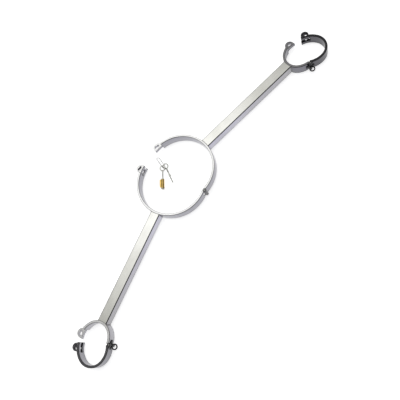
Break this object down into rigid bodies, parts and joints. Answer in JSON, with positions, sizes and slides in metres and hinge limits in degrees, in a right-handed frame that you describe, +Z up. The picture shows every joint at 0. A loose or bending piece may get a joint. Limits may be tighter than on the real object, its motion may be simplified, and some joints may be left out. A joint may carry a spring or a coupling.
{
  "type": "steel wrist and neck restraint yoke",
  "caption": "Rigid steel yoke: a hinged neck collar with a straight bar to each side ending in a hinged wrist cuff, and a brass plug lock with its keys on a wire loop.",
  "frame": {"origin": "on the table under the middle of the whole as it lies", "axes": "+X towards the cuff on the collar's tongue side, +Y from the collar's hinge towards its closure, +Z up through the strip's width"},
  "size_m": [0.7332, 0.18, 0.02],
  "materials": {
    "bar_steel": "finely brushed along the bar, bright",
    "collar_steel": "finely brushed around the ring, bright polished rims",
    "cuff_steel": "finely brushed around the ring, darker than the collar",
    "knuckle_steel": "turned",
    "pin_steel": "turned, domed by polishing",
    "black_steel": "blackened, satin",
    "lock_brass": "machined",
    "lock_steel": "machined",
    "key_nickel": "nickel plated, stamped",
    "loop_steel": "drawn wire"
  },
  "bodies": {
    "right_arm": {"right_bar": "bar_steel", "collar_tongue_band": "collar_steel", "collar_tongue_lug": "collar_steel", "collar_middle_knuckle": "knuckle_steel", "right_cuff_tongue_band": "cuff_steel", "right_cuff_tongue_lug": "cuff_steel", "right_cuff_middle_knuckle": "knuckle_steel", "right_cuff_eyelet": "black_steel"},
    "left_arm": {"left_bar": "bar_steel", "collar_fork_band": "collar_steel", "collar_upper_ear": "collar_steel", "collar_lower_ear": "collar_steel", "collar_upper_knuckle": "knuckle_steel", "collar_lower_knuckle": "knuckle_steel", "collar_hinge_pin": "pin_steel", "left_cuff_tongue_band": "cuff_steel", "left_cuff_tongue_lug": "cuff_steel", "left_cuff_middle_knuckle": "knuckle_steel", "left_cuff_eyelet": "black_steel"},
    "right_gate": {"right_cuff_fork_band": "cuff_steel", "right_cuff_upper_ear": "cuff_steel", "right_cuff_lower_ear": "cuff_steel", "right_cuff_upper_knuckle": "knuckle_steel", "right_cuff_lower_knuckle": "knuckle_steel", "right_cuff_hinge_pin": "pin_steel"},
    "left_gate": {"left_cuff_fork_band": "cuff_steel", "left_cuff_upper_ear": "cuff_steel", "left_cuff_lower_ear": "cuff_steel", "left_cuff_upper_knuckle": "knuckle_steel", "left_cuff_lower_knuckle": "knuckle_steel", "left_cuff_hinge_pin": "pin_steel"},
    "lock_case": {"lock_barrel": "lock_brass", "chamber_cap": "lock_brass", "tail_cap": "lock_steel", "driver_pin_1": "lock_brass", "driver_pin_2": "lock_brass", "driver_pin_3": "lock_brass", "pin_spring_1": "lock_steel", "pin_spring_2": "lock_steel", "pin_spring_3": "lock_steel"},
    "core": {"lock_core": "lock_brass", "key_pin_1": "lock_brass", "key_pin_2": "lock_brass", "key_pin_3": "lock_brass"},
    "bolt": {"side_bolt": "lock_steel"},
    "first_key": {"lock_key": "key_nickel"},
    "loop": {"key_loop": "loop_steel"},
    "second_key": {"spare_key": "key_nickel"}
  },
  "joints": [
    {"name": "collar_hinge", "type": "hinge", "parent": "right_arm", "child": "left_arm", "pos_m": [0.00382, -0.05317, 0.01], "axis": [0, 0, 1], "range_deg": [-22.5, 97.5]},
    {"name": "right_cuff_hinge", "type": "hinge", "parent": "right_arm", "child": "right_gate", "pos_m": [0.30988, -0.0753, 0.01], "axis": [0, 0, 1], "range_deg": [-29.5, 30.5]},
    {"name": "left_cuff_hinge", "type": "hinge", "parent": "left_arm", "child": "left_gate", "pos_m": [-0.31206, -0.07726, 0.01], "axis": [0, 0, 1], "range_deg": [-23, 27]},
    {"name": "lock_lift", "type": "slide", "parent": "right_arm", "child": "lock_case", "axis": [0, 0, 1], "range_m": [0, 0.1]},
    {"name": "core_turn", "type": "hinge", "parent": "lock_case", "child": "core", "pos_m": [-0.02038, 0.03663, 0.003], "axis": [-0.7716, -0.6361, 0], "range_deg": [0, 90]},
    {"name": "side_bolt_slide", "type": "slide", "parent": "lock_case", "child": "bolt", "axis": [-0.6361, 0.7716, 0], "range_m": [0, 0.0012]},
    {"name": "key_withdraw", "type": "slide", "parent": "core", "child": "first_key", "axis": [0.7716, 0.6361, 0], "range_m": [0, 0.025]},
    {"name": "loop_swing", "type": "hinge", "parent": "first_key", "child": "loop", "pos_m": [0.00071, 0.05056, 0.003], "axis": [0, 0, -1], "range_deg": [0, 12]},
    {"name": "spare_key_swing", "type": "hinge", "parent": "loop", "child": "second_key", "pos_m": [0.00071, 0.05056, 0.0016], "axis": [0, 0, -1], "range_deg": [0, 12]}
  ],
  "couplings": [
    {"joint": "side_bolt_slide", "follows": "core_turn", "m_per_rad": 0.00044559}
  ]
}
